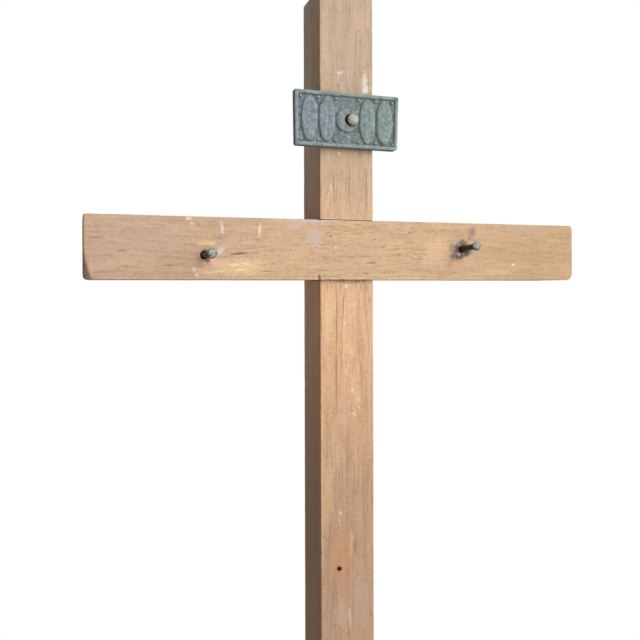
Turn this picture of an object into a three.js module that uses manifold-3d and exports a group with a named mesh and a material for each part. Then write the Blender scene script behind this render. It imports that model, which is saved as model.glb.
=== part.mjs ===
// A small wall crucifix: two sticks halved across each other, a cast title plate on one nail,
// the two pins left in its arms, and a ring on a staple at the back.
// Millimetres, +Z up. The front faces -Y, and +X is to the right as seen from the front.
// The origin is the hanging eye, on the back plane.

import * as THREE from 'three';
import { ConvexGeometry } from 'three/addons/geometries/ConvexGeometry.js';
import { mergeVertices } from 'three/addons/utils/BufferGeometryUtils.js';
import Module from 'manifold-3d';

const wasm = await Module();
wasm.setup();

// The two sticks
const stickDepth = 12.4;
const uprightWidth = 12.2;
const topArm = 57.0; // from the crossing's centre to the top end
const footArm = 126.0; // from the crossing's centre to the foot end
const crossbarHeight = 12.9;
const crossbarLength = 112.7;
const crossbarShift = 1.15; // the crossbar's middle lies this far to the right
const crossbarRise = 0.1; // and this far above the crossing's centre
const arrisRadius = 0.3; // the long edges
const endArrisRadius = 0.5; // the edges round the ends
const topBackRadius = 1.6; // the top end's back edge, rounded by hand

// The halving joint: the crossbar passes in front, and both fronts are flush
const lapDepth = 6.2; // the crossbar's thickness inside the joint
const glueLine = 0.1; // between the two halved faces
const shoulderFit = 0.05; // at the sides and at the upper shoulder
const lowerShoulderGap = 0.35; // the open line under the crossbar

// Wear that has a real shape
const knockedWidth = 1.6; // the lower front corner of the crossbar's left end
const knockedHeight = 6.2;
const knockedDepth = 2.0;
const nickWidth = 0.6; // the saw's nick in the crossbar's lower edge, beside the upright
const nickHeight = 0.7;
const nickDepth = 1.1;

// The pins that held the hands, placed from the crossing's centre
const pinShankDiameter = 1.45;
const pinHeadDiameter = 2.1;
const pinHeadThickness = 0.8;
const pinStandout = 6.7; // from the wood to the top of the head
const pinGrip = 7.5; // in the wood
const pinPoint = 2.2;
const leftPin = { x: -31.1, z: -1.37, lean: 5.2, rise: 0.6 }; // degrees, head to the right and up
const rightPin = { x: 28.1, z: 0.64, lean: 2.7, rise: 3.3 };
const pilotGap = 0.2; // round each pin, nail and staple leg
const craterDiameter = 3.4; // the wood torn out round the right pin
const craterDepth = 0.9;
const craterShift = -0.8; // its middle, from the pin

// The empty hole of the nail that held the feet
const footHoleDiameter = 1.15;
const footHoleDepth = 8.0;
const footHole = { x: -1.9, z: -69.3 };

// The title plate, placed from the nail that holds it
const plateTopWidth = 24.0;
const plateBottomWidth = 23.5;
const plateHeight = 11.95;
const plateCornerRadius = 0.7;
const plateField = 1.1; // thickness of the sunk field
const plateRelief = 0.5; // height of the rim and the ornament over the field
const plateTilt = 0.45; // degrees, right side down
const plateShift = { x: -1.1, z: -0.1 };
const plateBackGap = 0.15; // running gap behind the plate
const plateHeadGap = 0.15; // running gap under the nail's head
const plateHoleDiameter = 2.9;
const plateHoleShift = -0.4;
const rimWidth = 0.8;
const bossDiameter = 5.0; // the round boss in the plate's middle
const leafWidth = 3.5;
const leafHeight = 9.6;
const leafPitch = 3.95;
const leafStart = 4.6; // from the plate's middle to the first leaf's
const leavesPerSide = 2;
const beadDiameter = 0.8;
const beadDrop = 4.6; // from the plate's middle line to each row of beads
const reliefBevel = 0.35;

// The plate's nail, placed from the crossing's centre
const titleNail = { x: 0.77, z: 28.08, lean: 0, rise: 0 };
const titleNailShank = 1.5;
const titleNailHead = 2.7;
const titleNailHeadThickness = 0.95;
const titleNailGrip = 6.5;
const titleNailPoint = 1.8;

// The hanger at the back
const hangerBelowTop = 13.0; // from the top end down to the hanging eye
const stapleWire = 1.2;
const stapleGrip = 6.0;
const ringWire = 1.3;
const ringDiameter = 9.0; // across the middle of its wire
const ringBackGap = 0.35; // between the wood and the ring
const eyeClearance = 0.35; // round the ring's wire inside the staple

// How finely the round shapes are faceted, and how far a cutter overshoots
const arrisSegments = 3;
const holeSides = 16;
const pinSides = 16;
const headRings = 5;
const wireSides = 10;
const stapleSteps = 36;
const ringSteps = 40;
const leafSegments = 6;
const beadSides = 8;
const overshoot = 1.0;

const frontY = -stickDepth;
const barTop = crossbarRise + crossbarHeight / 2;
const barBottom = crossbarRise - crossbarHeight / 2;
const eyeAboveCrossing = topArm - hangerBelowTop;
const ringY = ringBackGap + ringWire / 2;
const crownRadius = ringWire / 2 + eyeClearance + stapleWire / 2;
const plateThickness = plateField + plateRelief;

// Solids for cutting and joining

function toSolid(geometry) {
  const bare = geometry.clone();
  bare.deleteAttribute('normal');
  bare.deleteAttribute('uv');
  const merged = mergeVertices(bare, 1e-4);
  return new wasm.Manifold(new wasm.Mesh({
    numProp: 3,
    vertProperties: new Float32Array(merged.attributes.position.array),
    triVerts: new Uint32Array(merged.index.array),
  }));
}

function toGeometry(solid) {
  const mesh = solid.getMesh();
  const geometry = new THREE.BufferGeometry();
  geometry.setAttribute('position', new THREE.BufferAttribute(mesh.vertProperties, 3));
  geometry.setIndex(new THREE.BufferAttribute(mesh.triVerts, 1));
  geometry.computeVertexNormals();
  return geometry;
}

function cutAway(base, cutters) {
  return cutters.reduce((solid, cutter) => solid.subtract(toSolid(cutter)), base);
}

function joinOn(base, additions) {
  return additions.reduce((solid, addition) => solid.add(toSolid(addition)), base);
}

// Outlines and prisms

// Radii run right top, left top, left bottom, right bottom.
function roundedRectangle(width, height, radii) {
  const [rightTop, leftTop, leftBottom, rightBottom] = radii;
  const right = width / 2;
  const top = height / 2;
  const shape = new THREE.Shape();
  shape.absarc(right - rightTop, top - rightTop, rightTop, 0, Math.PI / 2);
  shape.absarc(-right + leftTop, top - leftTop, leftTop, Math.PI / 2, Math.PI);
  shape.absarc(-right + leftBottom, -top + leftBottom, leftBottom, Math.PI, Math.PI * 1.5);
  shape.absarc(right - rightBottom, -top + rightBottom, rightBottom, Math.PI * 1.5, Math.PI * 2);
  return shape;
}

// Straight sides between the points, and a bend at each of them.
function roundedPolygon(points, radius) {
  const shape = new THREE.Shape();
  points.forEach((corner, index) => {
    const before = points.at(index - 1);
    const after = points[(index + 1) % points.length];
    const arrive = corner.clone().lerp(before, radius / corner.distanceTo(before));
    const leave = corner.clone().lerp(after, radius / corner.distanceTo(after));
    if (index === 0) {
      shape.moveTo(arrive.x, arrive.y);
    } else {
      shape.lineTo(arrive.x, arrive.y);
    }
    shape.quadraticCurveTo(corner.x, corner.y, leave.x, leave.y);
  });
  return shape;
}

// Extruded along Z, with its middle on the origin.
function prism(shape, length, curveSegments) {
  const geometry = new THREE.ExtrudeGeometry(shape, {
    depth: length,
    bevelEnabled: false,
    curveSegments,
  });
  return geometry.translate(0, 0, -length / 2);
}

function block(minimum, maximum) {
  const size = maximum.clone().sub(minimum);
  const middle = maximum.clone().add(minimum).multiplyScalar(0.5);
  return new THREE.BoxGeometry(size.x, size.y, size.z).translate(middle.x, middle.y, middle.z);
}

// A round cutter along Y between two depths, standing at x and z.
function hole(diameter, fromY, toY, x = 0, z = 0) {
  const cylinder = new THREE.CylinderGeometry(diameter / 2, diameter / 2, toY - fromY, holeSides);
  return cylinder.translate(x, (fromY + toY) / 2, z);
}

// A stick standing along Z, centred in X and Z, its back on y = 0. Three outlines cut
// through one another, so every edge is rounded. The turn lays it in its own direction.
function stick(length, width, backEdgeRadius, turn) {
  const arris = Array(4).fill(arrisRadius);
  const ends = Array(4).fill(endArrisRadius);
  const sideEnds = [backEdgeRadius, endArrisRadius, endArrisRadius, endArrisRadius];
  const section = prism(roundedRectangle(width, stickDepth, arris), length, arrisSegments);
  const face = prism(roundedRectangle(width, length, ends), stickDepth, arrisSegments);
  face.rotateX(Math.PI / 2);
  const side = prism(roundedRectangle(stickDepth, length, sideEnds), width, arrisSegments);
  side.rotateX(Math.PI / 2).rotateZ(Math.PI / 2);
  const [first, second, third] = [section, face, side].map((geometry) => {
    geometry.translate(0, -stickDepth / 2, 0).applyMatrix4(turn);
    return toSolid(geometry);
  });
  return first.intersect(second).intersect(third);
}

// A nail or pin turned about its own Y axis: its head up, and the wood's surface at y = 0.
function nailGeometry(shank, head, headThickness, standout, grip, point) {
  const underHead = standout - headThickness;
  const profile = [
    new THREE.Vector2(0, -grip),
    new THREE.Vector2(shank / 2, -grip + point),
    new THREE.Vector2(shank / 2, underHead),
    new THREE.Vector2(head / 2, underHead),
  ];
  for (let ring = 1; ring <= headRings; ring += 1) {
    const angle = (ring / headRings) * (Math.PI / 2);
    const radius = ring === headRings ? 0 : (head / 2) * Math.cos(angle);
    profile.push(new THREE.Vector2(radius, underHead + headThickness * Math.sin(angle)));
  }
  return new THREE.LatheGeometry(profile, pinSides);
}

// Where a nail's own frame stands in the cross: its head towards the front.
function nailPlace(place) {
  const rise = THREE.MathUtils.degToRad(place.rise);
  const lean = THREE.MathUtils.degToRad(place.lean);
  const turn = new THREE.Euler(rise, 0, Math.PI + lean, 'ZYX');
  return new THREE.Matrix4().makeRotationFromEuler(turn).setPosition(place.x, frontY, place.z);
}

function pilotHole(shank, grip, place) {
  const cutter = hole(shank + pilotGap * 2, -grip - pilotGap, overshoot);
  return cutter.applyMatrix4(nailPlace(place));
}

// The sticks, in the cross's own frame: the crossing's centre on the back plane

function makeUpright() {
  const length = topArm + footArm;
  const raise = new THREE.Matrix4().makeTranslation(0, 0, (topArm - footArm) / 2);
  const blank = stick(length, uprightWidth, topBackRadius, raise);
  const halfWidth = uprightWidth / 2 + overshoot;
  const housing = block(
    new THREE.Vector3(-halfWidth, frontY - overshoot, barBottom - lowerShoulderGap),
    new THREE.Vector3(halfWidth, frontY + lapDepth + glueLine, barTop + shoulderFit),
  );
  const stapleHole = stapleWire + pilotGap * 2;
  const stapleLegs = [-crownRadius, crownRadius].map((z) => (
    hole(stapleHole, -stapleGrip - pilotGap, overshoot, 0, eyeAboveCrossing + z)
  ));
  return toGeometry(cutAway(blank, [
    housing,
    hole(footHoleDiameter, frontY - overshoot, frontY + footHoleDepth, footHole.x, footHole.z),
    pilotHole(titleNailShank, titleNailGrip, titleNail),
    ...stapleLegs,
  ]));
}

// The corner knocked off the left end, lower front: a flat that runs out upwards.
function knockedCorner() {
  const left = crossbarShift - crossbarLength / 2;
  const outside = new THREE.Vector3(-overshoot, -overshoot, -overshoot);
  const corner = new THREE.Vector3(left, frontY, barBottom);
  const reach = [
    new THREE.Vector3(knockedWidth, 0, 0),
    new THREE.Vector3(0, knockedDepth, 0),
    new THREE.Vector3(0, 0, knockedHeight),
  ];
  const inner = reach.map((offset) => offset.clone().add(corner));
  const outer = reach.map((offset) => offset.clone().add(corner).add(outside));
  return new ConvexGeometry([...inner, ...outer, corner.clone().add(outside)]);
}

function sawNick() {
  const shape = new THREE.Shape();
  shape.moveTo(-nickWidth / 2, -overshoot);
  shape.lineTo(nickWidth / 2, -overshoot);
  shape.lineTo(nickWidth / 2, 0);
  shape.lineTo(0, nickHeight);
  shape.lineTo(-nickWidth / 2, 0);
  const cutter = prism(shape, nickDepth * 2, 1).rotateX(Math.PI / 2);
  return cutter.translate(-uprightWidth / 2, frontY, barBottom);
}

function crater() {
  const bottomDiameter = pinShankDiameter + pilotGap * 2;
  const cone = new THREE.CylinderGeometry(
    bottomDiameter / 2,
    craterDiameter / 2,
    craterDepth,
    holeSides,
  );
  cone.translate(rightPin.x + craterShift, frontY + craterDepth / 2, rightPin.z);
  return cone;
}

function makeCrossbar() {
  const lay = new THREE.Matrix4().makeRotationY(Math.PI / 2);
  lay.setPosition(crossbarShift, 0, crossbarRise);
  const blank = stick(crossbarLength, crossbarHeight, endArrisRadius, lay);
  const notchHalf = uprightWidth / 2 + shoulderFit;
  const notch = block(
    new THREE.Vector3(-notchHalf, frontY + lapDepth, barBottom - overshoot),
    new THREE.Vector3(notchHalf, overshoot, barTop + overshoot),
  );
  return toGeometry(cutAway(blank, [
    notch,
    knockedCorner(),
    sawNick(),
    crater(),
    pilotHole(pinShankDiameter, pinGrip, leftPin),
    pilotHole(pinShankDiameter, pinGrip, rightPin),
  ]));
}

// The title plate, in its nail's frame: x right, z up, its back on y = 0, its front at -y

function plateOutline(inset) {
  const top = plateHeight / 2 - inset;
  const corners = [
    new THREE.Vector2(plateTopWidth / 2 - inset, top),
    new THREE.Vector2(-plateTopWidth / 2 + inset, top),
    new THREE.Vector2(-plateBottomWidth / 2 + inset, -top),
    new THREE.Vector2(plateBottomWidth / 2 - inset, -top),
  ];
  return roundedPolygon(corners, plateCornerRadius);
}

// A full oval standing along Z, sloping in to its top.
function leaf(x) {
  const shape = new THREE.Shape();
  const tip = leafHeight / 2;
  const bulge = leafWidth * 2 / 3;
  shape.moveTo(0, -tip);
  shape.bezierCurveTo(bulge, -tip, bulge, tip, 0, tip);
  shape.bezierCurveTo(-bulge, tip, -bulge, -tip, 0, -tip);
  const geometry = new THREE.ExtrudeGeometry(shape, {
    depth: plateThickness - reliefBevel * 2,
    bevelThickness: reliefBevel,
    bevelSize: reliefBevel,
    bevelOffset: -reliefBevel,
    bevelSegments: 1,
    curveSegments: leafSegments,
  });
  return geometry.translate(x, 0, reliefBevel).rotateX(Math.PI / 2);
}

function bead(x, z) {
  const sphere = new THREE.SphereGeometry(beadDiameter / 2, beadSides, beadSides / 2);
  return sphere.translate(x, -plateField, z);
}

// Leaves and rows of beads, alike on both sides of the boss.
function ornament() {
  const boss = new THREE.CylinderGeometry(
    bossDiameter / 2,
    bossDiameter / 2 - reliefBevel,
    plateThickness,
    holeSides * 2,
  );
  const pieces = [boss.translate(0, -plateThickness / 2, 0)];
  for (const side of [-1, 1]) {
    for (let count = 0; count < leavesPerSide; count += 1) {
      pieces.push(leaf(side * (leafStart + count * leafPitch)));
    }
    for (let count = 0; count <= leavesPerSide; count += 1) {
      const x = side * (leafStart + (count - 0.5) * leafPitch);
      pieces.push(bead(x, -beadDrop), bead(x, beadDrop));
    }
  }
  return pieces;
}

function makeTitlePlate() {
  const slab = prism(plateOutline(0), plateField, arrisSegments).rotateX(Math.PI / 2);
  slab.translate(0, -plateField / 2, 0);
  const rimOutline = plateOutline(0);
  rimOutline.holes.push(plateOutline(rimWidth));
  const rim = prism(rimOutline, plateThickness, arrisSegments).rotateX(Math.PI / 2);
  rim.translate(0, -plateThickness / 2, 0);
  const plate = joinOn(toSolid(slab), [rim, ...ornament()]);
  const holeX = plateHoleShift - plateShift.x;
  const nailHole = hole(
    plateHoleDiameter,
    -plateThickness - overshoot,
    overshoot,
    holeX,
    -plateShift.z,
  );
  const geometry = toGeometry(cutAway(plate, [nailHole]));
  return geometry.translate(plateShift.x, 0, plateShift.z);
}

// The hanger, in the frame of the hanging eye

class StaplePath extends THREE.Curve {
  getPoint(t) {
    const leg = stapleGrip + ringY;
    const bend = Math.PI * crownRadius;
    const along = t * (leg * 2 + bend);
    if (along < leg) {
      return new THREE.Vector3(0, along - stapleGrip, crownRadius);
    }
    if (along > leg + bend) {
      return new THREE.Vector3(0, ringY - (along - leg - bend), -crownRadius);
    }
    const angle = (along - leg) / crownRadius;
    const y = ringY + crownRadius * Math.sin(angle);
    return new THREE.Vector3(0, y, crownRadius * Math.cos(angle));
  }
}

function makeStaple() {
  const section = new THREE.Shape();
  section.absarc(0, 0, stapleWire / 2, 0, Math.PI * 2);
  return new THREE.ExtrudeGeometry(section, {
    steps: stapleSteps,
    curveSegments: wireSides / 2,
    extrudePath: new StaplePath(),
  });
}

function makeRing() {
  const ring = new THREE.TorusGeometry(ringDiameter / 2, ringWire / 2, wireSides, ringSteps);
  return ring.rotateX(Math.PI / 2);
}

// The finished pieces

function addPiece(parent, name, geometry, color, roughness, metalness) {
  const material = new THREE.MeshStandardMaterial({ color, roughness, metalness });
  const mesh = new THREE.Mesh(geometry, material);
  mesh.name = name;
  parent.add(mesh);
  return mesh;
}

function addPin(parent, name, place) {
  const geometry = nailGeometry(
    pinShankDiameter,
    pinHeadDiameter,
    pinHeadThickness,
    pinStandout,
    pinGrip,
    pinPoint,
  );
  const pin = addPiece(parent, name, geometry, 0x7d8474, 0.55, 0.6);
  pin.applyMatrix4(nailPlace(place));
}

function addTitle(parent) {
  const plate = addPiece(parent, 'titulus_plate', makeTitlePlate(), 0x82938c, 0.7, 0.4);
  plate.position.set(titleNail.x, frontY - plateBackGap, titleNail.z);
  plate.rotation.y = THREE.MathUtils.degToRad(plateTilt);
  const geometry = nailGeometry(
    titleNailShank,
    titleNailHead,
    titleNailHeadThickness,
    plateBackGap + plateThickness + plateHeadGap + titleNailHeadThickness,
    titleNailGrip,
    titleNailPoint,
  );
  const nail = addPiece(parent, 'titulus_nail', geometry, 0x9a928c, 0.5, 0.6);
  nail.applyMatrix4(nailPlace(titleNail));
}

const crucifix = new THREE.Group();
const cross = new THREE.Group();
cross.position.z = -eyeAboveCrossing;
crucifix.add(cross);
addPiece(cross, 'upright', makeUpright(), 0xc39a72, 0.7, 0);
addPiece(cross, 'crossbar', makeCrossbar(), 0xcba57c, 0.7, 0);
addTitle(cross);
addPin(cross, 'hand_pin_left', leftPin);
addPin(cross, 'hand_pin_right', rightPin);
addPiece(crucifix, 'hanger_staple', makeStaple(), 0x9c8350, 0.45, 0.9);
const ring = addPiece(crucifix, 'hanger_ring', makeRing(), 0xb0914f, 0.4, 0.9);
ring.position.set(0, ringY, -ringDiameter / 2);

export default crucifix;
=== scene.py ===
import math
from functools import reduce
import bpy
from mathutils import Euler, Matrix, Vector, noise


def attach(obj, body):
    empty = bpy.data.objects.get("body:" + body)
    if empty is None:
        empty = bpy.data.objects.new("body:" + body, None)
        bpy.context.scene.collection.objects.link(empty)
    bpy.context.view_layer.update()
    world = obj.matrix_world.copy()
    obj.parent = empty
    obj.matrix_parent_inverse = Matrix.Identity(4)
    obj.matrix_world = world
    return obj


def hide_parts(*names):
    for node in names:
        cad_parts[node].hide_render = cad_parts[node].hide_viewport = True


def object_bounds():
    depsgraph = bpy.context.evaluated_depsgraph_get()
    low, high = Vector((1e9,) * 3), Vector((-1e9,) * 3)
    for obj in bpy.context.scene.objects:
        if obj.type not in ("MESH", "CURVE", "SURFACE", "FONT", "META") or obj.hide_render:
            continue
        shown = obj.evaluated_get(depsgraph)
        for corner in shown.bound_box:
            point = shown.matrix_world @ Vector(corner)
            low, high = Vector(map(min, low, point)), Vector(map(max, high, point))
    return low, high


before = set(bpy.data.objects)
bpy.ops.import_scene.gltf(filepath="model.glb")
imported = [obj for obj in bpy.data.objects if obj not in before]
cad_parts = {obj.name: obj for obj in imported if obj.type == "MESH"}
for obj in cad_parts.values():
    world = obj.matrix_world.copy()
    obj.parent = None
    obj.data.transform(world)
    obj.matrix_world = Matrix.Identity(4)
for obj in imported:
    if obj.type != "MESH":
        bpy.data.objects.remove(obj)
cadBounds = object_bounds()
noise.seed_set(7)  # so that the cracks wander the same way in each run

# Shapes are written in millimetres, as points and faces, and become metres in addPiece.
mm = 0.001
frontY = -12.4
crossingZ = -44.0  # the middle of the crossing, below the hanging eye
crossing = Vector((0, 0, crossingZ))

# The camera looks from a little to the left and from just below the crossbar.
viewSettings = {
    "place": (-56.62, -172.3, -52.6), "pitch": 89.98, "roll": -0.16, "yaw": -17.51, "lens": 43.7,
    "shiftY": -0.047,
}


def linked(name, data):  # a new object in the scene
    made = bpy.data.objects.new(name, data)
    bpy.context.collection.objects.link(made)
    return made


def newForm(name, points, faces):
    mesh = bpy.data.meshes.new(name)
    mesh.from_pydata(points, [], faces)
    return linked(name, mesh)


def addCamera(look):
    data = bpy.data.cameras.new("camera")
    data.lens = look["lens"]
    data.sensor_width = 36
    data.shift_y = look["shiftY"]
    data.clip_start = 0.005
    camera = linked("camera", data)
    turn = Euler((math.radians(look["pitch"]), 0, math.radians(look["yaw"]))).to_matrix()
    turn = turn @ Matrix.Rotation(math.radians(look["roll"]), 3, "Z")
    camera.matrix_world = Matrix.Translation(Vector(look["place"]) * mm) @ turn.to_4x4()
    bpy.context.scene.camera = camera


lightSettings = {
    "softbox": {"place": (0.42, -0.78, 0.42), "size": 1.1, "watts": 13.4},
    "backLight": {"place": (0.45, 0.75, 0.5), "size": 0.8, "watts": 7.0},
    "aim": (0, 0, -0.07),
    "ambient": (0.074, 0.069, 0.064, 1),
    "whiteTo": (0, 3, 6),  # camera, glossy and transmitted rays see white
    "floorTone": (0.58, 0.56, 0.54, 1),
    "floorFleck": (0.62, 0.6, 0.58, 1),
    "floorDrop": 0.0002,  # how far the floor lies below the cross
    "floorHalf": 0.8,
    "floorGlow": 0.72,  # how much of the floor's white is its own, to the camera
    "fade": (0.035, 0.085),  # the shadow fades out between these distances from the cross
}


def addLamp(name, look):
    data = bpy.data.lights.new(name, "AREA")
    data.shape = "SQUARE"
    data.size = look[name]["size"]
    data.energy = look[name]["watts"]
    lamp = linked(name, data)
    lamp.location = look[name]["place"]
    lamp.rotation_euler = (Vector(look["aim"]) - lamp.location).to_track_quat("-Z", "Y").to_euler()


# Shader sockets as values, so that masks and colours can be written as sums.
class Wire:
    def __init__(self, tree, socket=None):
        self.tree = tree
        self.socket = socket

    def node(self, kind, settings, inputs, output=0):
        made = self.tree.nodes.new("ShaderNode" + kind)
        for name, value in settings.items():
            setattr(made, name, value)
        for key, value in inputs.items():
            if isinstance(value, Wire):
                self.tree.links.new(value.socket, made.inputs[key])
            else:
                made.inputs[key].default_value = value
        return Wire(self.tree, made.outputs[output] if made.outputs else None)

    def sums(self, operation, first, second):
        return self.node("Math", {"operation": operation}, {0: first, 1: second})

    def __add__(self, other):
        return self.sums("ADD", self, other)

    def __radd__(self, other):
        return self.sums("ADD", other, self)

    def __sub__(self, other):
        return self.sums("SUBTRACT", self, other)

    def __rsub__(self, other):
        return self.sums("SUBTRACT", other, self)

    def __mul__(self, other):
        return self.sums("MULTIPLY", self, other)

    def __rmul__(self, other):
        return self.sums("MULTIPLY", other, self)


def paint(red, green, blue):  # a colour as it is given on screen
    def linear(value):
        value /= 255
        return value / 12.92 if value <= 0.04045 else ((value + 0.055) / 1.055) ** 2.4
    return (linear(red), linear(green), linear(blue), 1)


def between(value, low, high, start=0.0, end=1.0):  # an eased step
    settings = {"interpolation_type": "SMOOTHSTEP"}
    return value.node("MapRange", settings, {0: value, 1: low, 2: high, 3: start, 4: end})


def mixed(first, second, factor, mode="MIX"):
    settings = {"data_type": "RGBA", "blend_type": mode}
    inputs = {0: factor, 6: first, 7: second}
    wire = next(value for value in (factor, first, second) if isinstance(value, Wire))
    return wire.node("Mix", settings, inputs, 2)


def strongest(covers):
    return reduce(lambda first, second: first.sums("MAXIMUM", first, second), covers)


def vectors(wire, operation, first, second):
    return wire.node("VectorMath", {"operation": operation}, {0: first, 1: second})


def lengthOf(value):
    return value.node("VectorMath", {"operation": "LENGTH"}, {0: value}, 1)


def placed(wire, scale, location=(0, 0, 0)):
    return wire.node("Mapping", {}, {"Vector": wire, "Scale": scale, "Location": location})


def millimetres(wire, location=(0, 0, 0)):  # the place on the piece, in its own frame
    return placed(wire.node("TexCoord", {}, {}, 3), (1000, 1000, 1000), location)


def axisOf(value, axis):
    return value.node("SeparateXYZ", {}, {0: value}, axis)


def facing(wire, axis):  # how far the surface looks along an axis of the piece
    return axisOf(wire.node("TexCoord", {}, {}, 1), axis)


def cloud(wire, scale, detail, roughness=0.5, output=0):
    inputs = {"Vector": wire, "Scale": scale, "Detail": detail, "Roughness": roughness}
    return wire.node("TexNoise", {}, inputs, output)


def wandering(wire, scale, reach):  # the place, pushed about by a cloud
    push = cloud(wire, scale, 2.0, 0.5, 1)
    centred = vectors(wire, "SUBTRACT", push, (0.5, 0.5, 0.5))
    return vectors(wire, "ADD", wire, vectors(wire, "MULTIPLY", centred, reach))


def spot(wire, centre, half, turn, edge):  # 1 in an ellipsoid's middle, 0 outside
    inputs = {"Vector": wire, "Location": centre, "Rotation": (0, -turn, 0), "Scale": half}
    local = wire.node("Mapping", {"vector_type": "TEXTURE"}, inputs)
    return between(lengthOf(local), edge, 1.0, 1.0, 0.0)


def stroke(wire, line):  # a thin mark on the front, from one end to the other
    x0, z0, x1, z1, width, strength = line
    long, deep, wide = 0.56, 1.2, 0.8  # shares of its length and width, and millimetres into the wood
    half = (math.hypot(x1 - x0, z1 - z0) * long, deep, width * wide)
    turn = math.atan2(z1 - z0, x1 - x0)
    return spot(wire, ((x0 + x1) / 2, frontY, (z0 + z1) / 2), half, turn, 0.1) * strength


def newFinish(name):
    finish = bpy.data.materials.new(name)
    finish.use_nodes = True
    finish.node_tree.nodes.clear()
    return finish, Wire(finish.node_tree)


def finishOff(wire, look, colour, roughness, height, metallic=0.0):
    inputs = {"Height": height, "Strength": look["bump"], "Distance": look["bumpDepth"] * mm}
    shader = wire.node("BsdfPrincipled", {}, {
        "Base Color": colour,
        "Roughness": roughness,
        "Metallic": metallic,
        "IOR": look["ior"],
        "Specular IOR Level": look["specular"],
        "Normal": wire.node("Bump", {}, inputs),
    })
    wire.node("OutputMaterial", {}, {"Surface": shader})


def addStage(look):
    floorLevel = cadBounds[0][2] - look["floorDrop"]
    half = look["floorHalf"]
    corners = [(x * half, y * half, floorLevel) for x, y in ((-1, -1), (1, -1), (1, 1), (-1, 1))]
    floor = newForm("floor", corners, [(0, 1, 2, 3)])
    finish, wire = newFinish("palePaper")
    place = wire.node("TexCoord", {}, {}, 3)
    grain = cloud(place, 400.0, 3.0)
    away = lengthOf(vectors(wire, "MULTIPLY", place, (1, 1, 0)))
    glow = look["floorGlow"] + between(away, *look["fade"]) * (1 - look["floorGlow"])
    diffuse = wire.node("BsdfPrincipled", {}, {
        "Base Color": mixed(look["floorTone"], look["floorFleck"], grain),
        "Roughness": 0.9,
        "Specular IOR Level": 0.1,
    })
    white = wire.node("Emission", {}, {"Color": (1, 1, 1, 1), "Strength": 1.0})
    seen = wire.node("LightPath", {}, {}, 0)
    both = wire.node("MixShader", {}, {0: seen * glow, 1: diffuse, 2: white})
    wire.node("OutputMaterial", {}, {"Surface": both})
    floor.data.materials.append(finish)


def addWorld(look):
    world = bpy.data.worlds.new("studio")
    bpy.context.scene.world = world
    world.use_nodes = True
    world.node_tree.nodes.clear()
    wire = Wire(world.node_tree)
    seen = strongest([wire.node("LightPath", {}, {}, ray) for ray in look["whiteTo"]])
    tone = mixed(look["ambient"], (1, 1, 1, 1), seen)
    background = wire.node("Background", {}, {"Color": tone, "Strength": 1.0})
    wire.node("OutputWorld", {}, {"Surface": background})


addCamera(viewSettings)
addLamp("softbox", lightSettings)
addLamp("backLight", lightSettings)
addWorld(lightSettings)
addStage(lightSettings)
bpy.context.scene.view_settings.view_transform = "Standard"
print("camera, light and floor set")


# Shapes: a list of points and a list of faces, in millimetres.
def moved(shape, matrix):
    points, faces = shape
    return [matrix @ point for point in points], faces


def slab(low, high):
    sides = list(zip(low, high))
    points = [Vector((x, y, z)) for x in sides[0] for y in sides[1] for z in sides[2]]
    faces = [(0, 1, 3, 2), (4, 6, 7, 5), (0, 4, 5, 1), (2, 3, 7, 6), (0, 2, 6, 4), (1, 5, 7, 3)]
    return points, faces


def skinned(rings):  # rings of the same number of points, joined in order and closed at both ends
    count = len(rings[0])
    points = [point for ring in rings for point in ring]
    faces = []
    for level in range(len(rings) - 1):
        here = level * count
        there = here + count
        for step in range(count):
            following = (step + 1) % count
            faces.append((here + step, here + following, there + following, there + step))
    faces.append(tuple(range(count))[::-1])
    faces.append(tuple(range(len(points) - count, len(points))))
    return points, faces


def turned(profile, sides, rough=0.0, seed=0.0):  # radius and height pairs, round the Y axis
    rings = []
    for radius, height in profile:
        ring = []
        for side in range(sides):
            angle = -2 * math.pi * side / sides
            point = Vector((radius * math.cos(angle), height, radius * math.sin(angle)))
            lump = noise.noise(point * 1.3 + Vector((seed, seed, seed)))
            ring.append(point * (1 + rough * lump) if radius > 0.02 else point)
        rings.append(ring)
    return skinned(rings)


def tube(path, radius, sides, tip):
    rings = []
    last = len(path) - 1
    reach, factor = tip
    for index, point in enumerate(path):
        along = (path[min(index + 1, last)] - path[max(index - 1, 0)]).normalized()
        side = along.cross(Vector((1, 0, 0)))
        side = side.normalized() if side.length > 0.01 else Vector((0, 0, 1))
        other = along.cross(side).normalized()
        share = min(index, last - index) / last
        size = radius
        if share < reach:
            size = radius * (factor + (1 - factor) * share / reach)
        rings.append([
            point + (side * math.cos(angle) + other * math.sin(angle)) * size
            for angle in (2 * math.pi * step / sides for step in range(sides))
        ])
    return skinned(rings)


def splinter(path, width, depth):  # a thin wedge cutter along a line on the front, fine at both ends
    lift = 0.4  # it starts this far before the front
    rings = []
    for index, (x, z) in enumerate(path):
        share = index / (len(path) - 1)
        size = max(0.12, math.sin(math.pi * share) ** 0.5)
        ahead = Vector(path[min(index + 1, len(path) - 1)]) - Vector(path[max(index - 1, 0)])
        across = Vector((-ahead.y, ahead.x)).normalized() * width * size / 2
        rings.append([
            Vector((x + across.x * 2, frontY - lift, z + across.y * 2)),
            Vector((x, frontY + depth * size, z)),
            Vector((x - across.x * 2, frontY - lift, z - across.y * 2)),
        ])
    return skinned(rings)


def addPiece(name, shape, finish, body, node, sharpAngle=32):
    points, faces = shape
    piece = newForm(name, [point * mm for point in points], faces)
    mesh = piece.data
    mesh.validate()
    mesh.update()
    mesh.materials.append(finish)
    mesh.shade_smooth()
    mesh.set_sharp_from_angle(angle=math.radians(sharpAngle))
    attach(piece, body)
    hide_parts(node)
    print("made", name, "with", len(mesh.polygons), "faces")


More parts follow.
